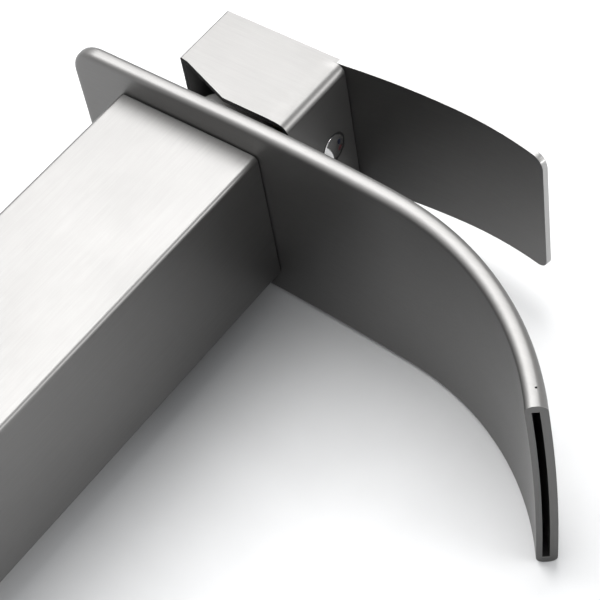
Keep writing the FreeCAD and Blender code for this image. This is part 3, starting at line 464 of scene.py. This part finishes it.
def bevel_weights(obj, weigh):
    """Gives each sharp edge the width that weigh returns for it, in millimetres, then bevels."""
    bm = bmesh.new()
    bm.from_mesh(obj.data)
    layers = bm.edges.layers.float
    layer = layers.get("bevel_weight_edge") or layers.new("bevel_weight_edge")
    for edge in bm.edges:
        angle = math.degrees(edge.calc_face_angle(0.0)) if len(edge.link_faces) == 2 else 0.0
        edge[layer] = weigh(edge) if angle > BEVEL_ANGLE else 0.0
    bm.to_mesh(obj.data)
    bm.free()
    bevel = obj.modifiers.new("bevel", "BEVEL")
    bevel.width = 1.0 * MM
    bevel.limit_method = "WEIGHT"
    bevel.segments = BEVEL_SEGMENTS
    bevel.use_clamp_overlap = True
    return settle(obj)


def cylinder(name, start, end, radius, sides=64):
    """A closed cylinder from start to end, in millimetres."""
    start, end = Vector(start) * MM, Vector(end) * MM
    bm = bmesh.new()
    turn = (end - start).to_track_quat("Z", "Y").to_matrix().to_4x4()
    bmesh.ops.create_cone(bm, cap_ends=True, segments=sides, radius1=radius * MM,
                          radius2=radius * MM, depth=(end - start).length,
                          matrix=Matrix.Translation((start + end) / 2) @ turn)
    return new_object(name, bm)


def turned(name, profile, centre, axis, sides=72):
    """Turns a profile of (place along the axis, radius) about an axis, X or Z, through centre."""
    bm = bmesh.new()
    rings = []
    for along, radius in profile:
        ring = []
        for i in range(sides):
            turn = 2 * math.pi * i / sides
            u, v = radius * math.cos(turn), radius * math.sin(turn)
            point = (along, u, v) if axis == "X" else (u, v, along)
            ring.append(bm.verts.new((Vector(point) + Vector(centre)) * MM))
        rings.append(ring)
    for first, second in zip(rings, rings[1:] + rings[:1]):
        bridge(bm, first, second)
    bmesh.ops.remove_doubles(bm, verts=bm.verts, dist=HAIR)
    return new_object(name, bm)


def rounded_square(half, radius, steps=6):
    """The points of a square's outline with rounded corners, anticlockwise."""
    points = []
    for quarter in range(4):
        centre_turn = math.radians(45 + 90 * quarter)
        cx = math.copysign(half - radius, math.cos(centre_turn))
        cy = math.copysign(half - radius, math.sin(centre_turn))
        for step in range(steps + 1):
            turn = math.radians(90 * quarter + 90 * step / steps)
            points.append((cx + radius * math.cos(turn), cy + radius * math.sin(turn)))
    return points


# ---------------------------------------------------------------- spout plate
BEND_START = FLAT_END + EASE_RADIUS * EASE_ANGLE
PLATE_END = BEND_START + BEND_RADIUS * BEND_ANGLE
EDGE_RADIUS = PLATE_THICKNESS / 2


def plate_middle(along):
    """Where the plate's middle lies at a length along it: x, z and how far it has turned down."""
    ease_z = PLATE_LEVEL + PLATE_THICKNESS / 2 - EASE_RADIUS
    if along <= FLAT_END:
        return along, ease_z + EASE_RADIUS, 0.0
    if along <= BEND_START:
        turn = (along - FLAT_END) / EASE_RADIUS
        return FLAT_END + EASE_RADIUS * math.sin(turn), ease_z + EASE_RADIUS * math.cos(turn), turn
    turn = EASE_ANGLE + (along - BEND_START) / BEND_RADIUS
    inset = EASE_RADIUS - BEND_RADIUS
    return (FLAT_END + inset * math.sin(EASE_ANGLE) + BEND_RADIUS * math.sin(turn),
            ease_z + inset * math.cos(EASE_ANGLE) + BEND_RADIUS * math.cos(turn), turn)


def plate_point(along, side, height):
    """A point of the crowned plate, height above its middle layer."""
    x, z, turn = plate_middle(along)
    share = max(0.0, (along - CROWN_START) / (PLATE_END - CROWN_START))
    across = side / PLATE_HALF_WIDTH
    wide = min(1.0, max(0.0, along / WIDE_START))
    outer = max(0.0, abs(height) / (PLATE_THICKNESS / 2) - CORE_SHARE) / (1 - CORE_SHARE)
    height += LIP_RISE * share ** LIP_POWER * outer if height > 0 else -UNDER_SINK * wide * outer
    height += share * (CROWN_TIP * (1 - across ** 2) + TWIST_TIP * (1 + across) / 2)
    side *= 1 - NARROW_BACK / PLATE_HALF_WIDTH * (1 - wide)
    return Vector((x + height * math.sin(turn), side, z + height * math.cos(turn))) * MM


def plate_solid(name, rim, half_width, back, corner, end, side_steps=56, arc_steps=10):
    """A solid that follows the plate's curve; rim is (inset, height) from its top to its bottom."""
    across = STEPS_ACROSS
    bm = bmesh.new()
    side_run = [end + (back + corner - end) * i / side_steps for i in range(side_steps)]
    half_back = half_width - corner

    def half_path(inset):
        """From the cut end along one side and round its back corner."""
        points = [(along, half_width - inset) for along in side_run]
        for step in range(arc_steps + 1):
            turn = math.radians(90 + 90 * step / arc_steps)
            points.append((back + corner + (corner - inset) * math.cos(turn),
                           half_back + (corner - inset) * math.sin(turn)))
        return points

    def rungs(inset, height):
        """Rows of points from one side to the other, from the cut end to the back edge."""
        rows = []
        for along, side in half_path(inset):
            rows.append([bm.verts.new(plate_point(along, side * (1 - 2 * j / across), height))
                         for j in range(across + 1)])
        return rows

    top = rungs(*rim[0])
    bottom = rungs(*rim[-1])
    rings = [[row[0] for row in top] + top[-1][1:-1] + [row[-1] for row in reversed(top)]]
    for inset, height in rim[1:-1]:
        path = half_path(inset)
        back_edge = [(path[-1][0], path[-1][1] * (1 - 2 * j / across)) for j in range(1, across)]
        whole = path + back_edge + [(along, -side) for along, side in reversed(path)]
        rings.append([bm.verts.new(plate_point(along, side, height)) for along, side in whole])
    rings.append([row[0] for row in bottom] + bottom[-1][1:-1]
                 + [row[-1] for row in reversed(bottom)])
    for rows in (top, bottom):
        for first, second in zip(rows, rows[1:]):
            for j in range(across):
                bm.faces.new((first[j], first[j + 1], second[j + 1], second[j]))
    for first, second in zip(rings, rings[1:]):
        for i in range(len(first) - 1):
            bm.faces.new((first[i], first[i + 1], second[i + 1], second[i]))
    cap = [ring[0] for ring in rings] + bottom[0][1:-1]
    cap += [ring[-1] for ring in reversed(rings)] + list(reversed(top[0][1:-1]))
    bm.faces.new(cap)
    return new_object(name, bm)


def make_spout_plate():
    rim = []
    for step in range(EDGE_STEPS + 1):
        turn = math.pi * step / EDGE_STEPS
        level = math.copysign(abs(math.cos(turn)) ** EDGE_SQUARENESS, math.cos(turn))
        inset = 1 - abs(math.sin(turn)) ** EDGE_SQUARENESS
        rim.append((EDGE_RADIUS * inset, EDGE_RADIUS * level))
    plate = plate_solid("spout_plate", rim, PLATE_HALF_WIDTH, PLATE_BACK, PLATE_CORNER, PLATE_END)
    slot = [(0.0, SLOT_HEIGHT / 2 - SLOT_DROP), (0.0, -SLOT_HEIGHT / 2 - SLOT_DROP)]
    chamber = plate_solid("chamber", slot, PLATE_HALF_WIDTH - SLOT_SIDE_WALL, CHAMBER_BACK,
                          CHAMBER_CORNER, PLATE_END + CHAMBER_PAST_END, side_steps=50, arc_steps=3)
    neck_low, neck_high = (PLATE_LEVEL + level for level in NECK_CUT)
    neck = cylinder("neck", (0, 0, neck_low), (0, 0, neck_high), NECK_HOLE)
    vent_x, vent_z = VENT_PLACE
    vent = cylinder("vent", (vent_x, -PLATE_HALF_WIDTH - 1, vent_z),
                    (vent_x, -PLATE_HALF_WIDTH + VENT_DEPTH, vent_z), VENT_RADIUS, sides=20)
    combine(plate, [chamber, neck, vent], "DIFFERENCE")
    end = plate_point(PLATE_END, 0.0, 0.0)
    turn = EASE_ANGLE + BEND_ANGLE
    ahead = Vector((math.cos(turn), 0.0, -math.sin(turn)))

    def at_end(points):
        return all(abs((point - end).dot(ahead)) < 0.01 * MM for point in points)

    # the cut end's edges are just broken
    bevel_weights(plate, lambda edge: END_BEVEL if at_end(v.co for v in edge.verts) else 0.0)
    # painted shade: the faces of the cut end get the darker satin copy
    paint(plate, "satin_plate", "satin_cut_painted_shade")
    for face in plate.data.polygons:
        face.material_index = 1 if at_end([face.center]) else 0
    shade(plate, 40.0)
    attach(plate, "tap_body")
    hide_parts("spout_shell")


# ---------------------------------------------------------------- column and its seam
def make_column():
    column = copy_of("column_tube", "column_sleeve")
    top = (PLATE_LEVEL - COLUMN_TOP_BAND) * MM
    for vert in column.data.vertices:
        if vert.co.z > top:
            vert.co.z -= SEAM_GAP * MM
    bevel_weights(column, lambda edge: COLUMN_BEVEL)
    shade(column)
    # painted light: the slightly paler satin copy makes the column's sides read brighter
    paint(column, "satin_column_painted_light")
    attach(column, "tap_body")
    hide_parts("column_tube")


def make_seam_seal():
    """The dark seal that fills the joint between the column's end and the plate."""
    bm = bmesh.new()
    outer = rounded_square(COLUMN_HALF - SEAM_INSET, COLUMN_EDGE_RADIUS)
    inner = rounded_square(COLUMN_HALF - COLUMN_WALL + SEAL_OVERHANG, COLUMN_EDGE_RADIUS - 1.0)
    loops = []
    for points, sink in ((outer, 0.0), (outer, 1.0), (inner, 1.0), (inner, 0.0)):
        loop = []
        for x, y in points:
            top = plate_point(x, PLATE_HALF_WIDTH, -PLATE_THICKNESS / 2)
            level = top.z + (SEAL_BITE - sink * (SEAM_GAP + 2 * SEAL_BITE)) * MM
            loop.append(bm.verts.new((x * MM, y * MM, level)))
        loops.append(loop)
    for first, second in zip(loops, loops[1:] + loops[:1]):
        bridge(bm, first, second)
    seal = new_object("seam_seal", bm)
    shade(seal)
    paint(seal, "rubber")
    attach(seal, "tap_body")


# ---------------------------------------------------------------- handle
def lean_sides(bm):
    """Lets the hood's sides lean in a little before its rounded front edges."""
    flat_end = HOOD_FRONT - HOOD_ROUNDING
    run = flat_end - LEAN_START
    for step in range(LEAN_CUTS + 1):
        cut_flat(bm, (LEAN_START + run * step / LEAN_CUTS, 0, 0), (1, 0, 0))
    for level in (ROOF_LEVEL, ROOF_LEVEL - LEAN_FADE / 2, ROOF_LEVEL - LEAN_FADE):
        cut_flat(bm, (0, 0, level), (0, 0, 1))
    for vert in bm.verts:
        x, y, z = vert.co / MM
        side = abs(y)
        corner = math.hypot(max(0.0, x - flat_end), max(0.0, side - flat_end))
        if x <= flat_end:
            outside = side > HOOD_HALF_WIDTH - 0.1
        else:
            outside = corner > HOOD_ROUNDING - 0.1
        if outside and LEAN_START < x < HOOD_FRONT + 0.1 and side > flat_end and z < ROOF_LEVEL:
            share = min(1.0, (x - LEAN_START) / run)
            lean = LEAN_DEPTH * share ** 2 + 2 * LEAN_DEPTH / run * max(0.0, x - flat_end)
            lean *= min(1.0, (ROOF_LEVEL - z) / LEAN_FADE)
            vert.co.y -= math.copysign(lean, y) * MM


def make_dome():
    level, radius = DOME_OUTSIDE[-1]
    corner = []
    for step in range(1, DOME_ROUNDING_STEPS + 1):
        turn = math.radians(90 * step / DOME_ROUNDING_STEPS)
        corner.append((level + DOME_ROUNDING * math.sin(turn),
                       radius - DOME_ROUNDING * (1 - math.cos(turn))))
    dome = turned("dome_cover", DOME_OUTSIDE + corner + DOME_MOUTH, (0, 0, 0), "Z")
    shade(dome, 40.0)
    # painted light: the dome gets the much paler satin copy, so it looks lit under the hood
    paint(dome, "satin_dome_painted_light")
    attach(dome, "tap_body")
    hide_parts("dome_cap")


def make_studs():
    """Two studs: a smooth core and neck, and a V thread wound on it that runs out at both ends."""
    bm = bmesh.new()
    steps = THREAD_STEPS
    count = int((THREAD_TOP - STUD_END - THREAD_RUNOUT) / THREAD_PITCH * steps)
    for side in (-1, 1):
        roots, crests = [], []
        for k in range(count + 1):
            turn = 2 * math.pi * k / steps
            level = STUD_END + STUD_CHAMFER + THREAD_PITCH * k / steps
            full = min(1.0, k / steps, (count - k) / steps)
            crest = ROOT_RADIUS + (THREAD_RADIUS - ROOT_RADIUS) * full
            for row, radius, z in ((roots, ROOT_RADIUS - THREAD_SINK, level),
                                   (crests, crest, level + THREAD_PITCH / 2)):
                place = (side * STUD_OFFSET + radius * math.cos(turn), radius * math.sin(turn), z)
                row.append(bm.verts.new(Vector(place) * MM))
        for k in range(count):
            bm.faces.new((roots[k], roots[k + 1], crests[k + 1], crests[k]))
            if k + 1 + steps <= count:
                bm.faces.new((crests[k], crests[k + 1], roots[k + 1 + steps], roots[k + steps]))
    studs = new_object("threaded_studs", bm)
    end = [(STUD_END, 0.0), (STUD_END, ROOT_RADIUS - STUD_CHAMFER),
           (STUD_END + STUD_CHAMFER, ROOT_RADIUS)]
    neck = [(THREAD_TOP - NECK_BELOW, ROOT_RADIUS + THREAD_SINK),
            (THREAD_TOP + NECK_ABOVE, NECK_RADIUS), (0.0, NECK_RADIUS), (0.0, THREAD_RADIUS)]
    top = [(STUD_TOP, THREAD_RADIUS), (STUD_TOP, 0.0)]
    cores = [turned("core", end + neck + top, (side * STUD_OFFSET, 0, 0), "Z", sides=40)
             for side in (-1, 1)]
    join(studs, cores)
    shade(studs, 50.0)
    paint(studs, "steel")
    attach(studs, "tap_body")
    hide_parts("mounting_studs")


def plug_face(side, rise):
    """How far out the plug's crowned face stands at a place beside its middle."""
    return PLUG_TOP - PLUG_CROWN * (side ** 2 + rise ** 2) / PLUG_RADIUS ** 2


def make_plug():
    rim = PLUG_RADIUS
    crown = [(plug_face(0.0, rim * share), rim * share)
             for share in (0.98, 0.9, 0.75, 0.6, 0.45, 0.3, 0.15, 0.0)]
    profile = [(PLUG_BACK, 0.0), (PLUG_BACK, PLUG_FLANGE_RADIUS),
               (PLUG_FLANGE_FRONT, PLUG_FLANGE_RADIUS), (PLUG_FLANGE_FRONT, rim),
               (plug_face(0.0, rim) - PLUG_RIM_STEP, rim)] + crown
    plug = turned("plug", profile, (0, 0, PLUG_LEVEL), "X")
    shade(plug, 40.0)
    paint(plug, "polished")
    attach(plug, "lever")
    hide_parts("index_button")
    for name, node, side in (("hot_dot", "hot_mark", 1), ("cold_dot", "cold_mark", -1)):
        make_dot(name, node, side * MARK_SIDE)


def make_dot(name, node, side):
    """An enamel dot that follows the plug's face and stands a hair proud of it."""
    rings, sides = 4, 28
    bm = bmesh.new()
    rows = []
    for ring in range(rings + 1):
        radius = MARK_RADIUS * ring / rings
        row = []
        for i in range(sides):
            turn = 2 * math.pi * i / sides
            y, z = side + radius * math.cos(turn), MARK_RISE + radius * math.sin(turn)
            x = plug_face(y, z) + MARK_PROUD
            row.append(bm.verts.new(Vector((x, y, PLUG_LEVEL + z)) * MM))
        rows.append(row)
    rows.append([bm.verts.new(vert.co - Vector((MARK_DEPTH * MM, 0, 0))) for vert in rows[-1]])
    for first, second in zip(rows, rows[1:]):
        bridge(bm, first, second)
    bm.faces.new(rows[-1])
    bmesh.ops.remove_doubles(bm, verts=bm.verts, dist=HAIR)
    dot = new_object(name, bm)
    shade(dot, 50.0)
    enamel = "red_enamel" if side > 0 else "blue_enamel"
    paint(dot, enamel)
    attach(dot, "lever")
    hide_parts(node)


def make_handle():
    shell = copy_of("handle_hood", "handle_shell")
    combine(shell, [copy_of("lever_plate", "sheet")], "UNION")
    bm = bmesh.new()
    bm.from_mesh(shell.data)
    merge_flats(bm, 0.5)
    lean_sides(bm)
    bm.to_mesh(shell.data)
    bm.free()

    def width(edge):
        middle = (edge.verts[0].co + edge.verts[1].co) / 2
        if not edge.is_convex:
            return 0.0
        if middle.z < (ROOF_LEVEL - SKIRT_DEPTH) * MM:
            return RIM_BEVEL
        inside = abs(middle.y) < (HOOD_HALF_WIDTH - HOOD_WALL + 0.1) * MM
        under = middle.z < (ROOF_LEVEL + 0.01) * MM and middle.x < (HOOD_FRONT + 0.1) * MM
        return 0.0 if inside and under else EDGE_BEVEL

    bevel_weights(shell, width)
    # the hood's inside and rims get painted shade, the lever's end face and sides painted
    # highlights
    paints = ["satin_handle", "painted_shade_inside", "painted_highlight_end", "painted_highlight_side", "painted_shade_rim"]
    paint(shell, *paints)
    room = (HOOD_HALF_WIDTH - HOOD_WALL + 0.05) * MM
    front = (HOOD_FRONT - HOOD_WALL + 0.05) * MM
    back = (HOOD_BACK + HOOD_WALL - 0.05) * MM
    for face in shell.data.polygons:
        x, y, z = face.center
        past = x > (HOOD_FRONT + 1.0) * MM
        corner = x > (HOOD_FRONT - HOOD_ROUNDING) * MM and z > (ROOF_LEVEL + 0.05) * MM
        # painted shade: the faces inside the hood get the dull dark grey
        if abs(y) < room and back < x < front and z < (ROOF_LEVEL + 0.1) * MM:
            finish_or_painted_light = "painted_shade_inside"
        # painted shade: the hood's downward rim faces get near black
        elif face.normal.z < -0.4 and z < (ROOF_LEVEL - RIM_DEPTH) * MM:
            finish_or_painted_light = "painted_shade_rim"
        # painted highlight: the lever's end face gets the brighter satin copy
        elif face.normal.x > 0.75 and x > (HOOD_FRONT + LEVER_REACH) * MM:
            finish_or_painted_light = "painted_highlight_end"
        # painted highlight: the lever's sides and the roof's front corners get the paler satin copy
        elif abs(face.normal.y) > 0.8 and (past or corner):
            finish_or_painted_light = "painted_highlight_side"
        else:
            finish_or_painted_light = "satin_handle"
        face.material_index = paints.index(finish_or_painted_light)
    shade(shell, 32.0)
    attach(shell, "lever")
    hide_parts("handle_hood", "lever_plate")


# ---------------------------------------------------------------- edges
NODE_BEVELS = (("base_block", 0.2), ("stud_nuts", 0.3), ("clamp_plate", 0.25))
NODE_BEVEL_ANGLE = 25.0
NODE_FLAT_ANGLE = 0.4


def soften(name, width):
    """Merges a CAD node's split corners, then rounds its sharp edges a little."""
    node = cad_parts[name]
    weld = node.modifiers.new("weld", "WELD")
    weld.merge_threshold = SPLIT
    flat = node.modifiers.new("flat", "DECIMATE")
    flat.decimate_type = "DISSOLVE"
    flat.angle_limit = math.radians(NODE_FLAT_ANGLE)
    bevel = node.modifiers.new("bevel", "BEVEL")
    bevel.width = width * MM
    bevel.segments = BEVEL_SEGMENTS
    bevel.limit_method = "ANGLE"
    bevel.angle_limit = math.radians(NODE_BEVEL_ANGLE)
    bevel.harden_normals = True
    for face in node.data.polygons:
        face.use_smooth = True


def smooth_nodes():
    for name, width in NODE_BEVELS:
        soften(name, width)


# ---------------------------------------------------------------- floor, light
# metres and watts from here on, but for the floor's place
FLOOR_Y = 31.75
FLOOR_HALF = 1.4
FLOOR_COLOURS = ((0.53, 0.53, 0.53), (0.56, 0.56, 0.56))
FLOOR_CLOUDS, FLOOR_GRAIN = 30.0, 900.0
FLOOR_BUMP = 0.0001
ROOM_COLOUR, ROOM_STRENGTH = (0.95, 0.97, 1.0, 1.0), 0.75
SEEN_COLOUR, SEEN_STRENGTH = (1.0, 1.0, 1.0, 1.0), 0.95
LAMP_AIM = (0.0, 0.0, 0.22)
LAMPS = (("key", (-0.5, -1.2, 0.6), 1.2, 1.2, 35.0),        # name, place, width, height, watts
         ("low", (-0.56, -0.98, -0.30), 0.8, 0.8, 3.0),
         ("edge", (0.94, -0.54, 0.75), 0.12, 0.9, 8.0))


def add_floor():
    """The pale table under the tap's left side; it doesn't hide the tap from behind."""
    mesh = bpy.data.meshes.new("floor")
    half, y = FLOOR_HALF, FLOOR_Y * MM
    corners = [(-half, y, -half), (half, y, -half), (half, y, half), (-half, y, half)]
    mesh.from_pydata(corners, [], [(0, 1, 2, 3)])
    floor = bpy.data.objects.new("floor", mesh)
    bpy.context.scene.collection.objects.link(floor)
    m = Material("floor")
    m.set(Roughness=0.9)
    m.join(m.colours(m.noise(FLOOR_CLOUDS), *FLOOR_COLOURS), m.shader.inputs["Base Color"])
    m.join(m.bump(m.noise(FLOOR_GRAIN), 0.1, FLOOR_BUMP), m.shader.inputs["Normal"])
    behind = m.nodes.new("ShaderNodeNewGeometry").outputs["Backfacing"]
    clear = m.nodes.new("ShaderNodeBsdfTransparent")
    mix = m.nodes.new("ShaderNodeMixShader")
    m.join(behind, mix.inputs["Fac"])
    m.join(m.shader.outputs["BSDF"], mix.inputs[1])
    m.join(clear.outputs["BSDF"], mix.inputs[2])
    m.join(mix.outputs["Shader"], m.output.inputs["Surface"])
    mesh.materials.append(m.material)


def add_softbox(name, place, width, height, watts):
    data = bpy.data.lights.new(name, "AREA")
    data.shape = "RECTANGLE"
    data.size, data.size_y = width, height
    data.energy = watts
    lamp = bpy.data.objects.new(name, data)
    bpy.context.scene.collection.objects.link(lamp)
    lamp.location = place
    lamp.rotation_euler = (Vector(LAMP_AIM) - lamp.location).to_track_quat("-Z", "Y").to_euler()


def add_light():
    """A dim room for the light that falls, a pale one for what is seen and mirrored."""
    world = bpy.data.worlds.new("world")
    bpy.context.scene.world = world
    world.use_nodes = True
    nodes, links = world.node_tree.nodes, world.node_tree.links
    dim = nodes["Background"]
    dim.inputs["Color"].default_value = ROOM_COLOUR
    dim.inputs["Strength"].default_value = ROOM_STRENGTH
    pale = nodes.new("ShaderNodeBackground")
    pale.inputs["Color"].default_value = SEEN_COLOUR
    pale.inputs["Strength"].default_value = SEEN_STRENGTH
    path = nodes.new("ShaderNodeLightPath")
    seen = path.outputs["Is Camera Ray"]
    for kind in ("Is Glossy Ray", "Is Transmission Ray"):
        either = nodes.new("ShaderNodeMath")
        either.operation = "MAXIMUM"
        links.new(seen, either.inputs[0])
        links.new(path.outputs[kind], either.inputs[1])
        seen = either.outputs["Value"]
    mix = nodes.new("ShaderNodeMixShader")
    links.new(seen, mix.inputs["Fac"])
    links.new(dim.outputs["Background"], mix.inputs[1])
    links.new(pale.outputs["Background"], mix.inputs[2])
    links.new(mix.outputs["Shader"], nodes["World Output"].inputs["Surface"])
    for lamp in LAMPS:
        add_softbox(*lamp)


# ---------------------------------------------------------------- scene
scene = bpy.context.scene
scene.view_settings.view_transform = "Standard"

paint_nodes()
smooth_nodes()
make_spout_plate()
make_column()
make_seam_seal()
make_handle()
make_dome()
make_plug()
make_studs()
add_camera()
add_floor()
add_light()
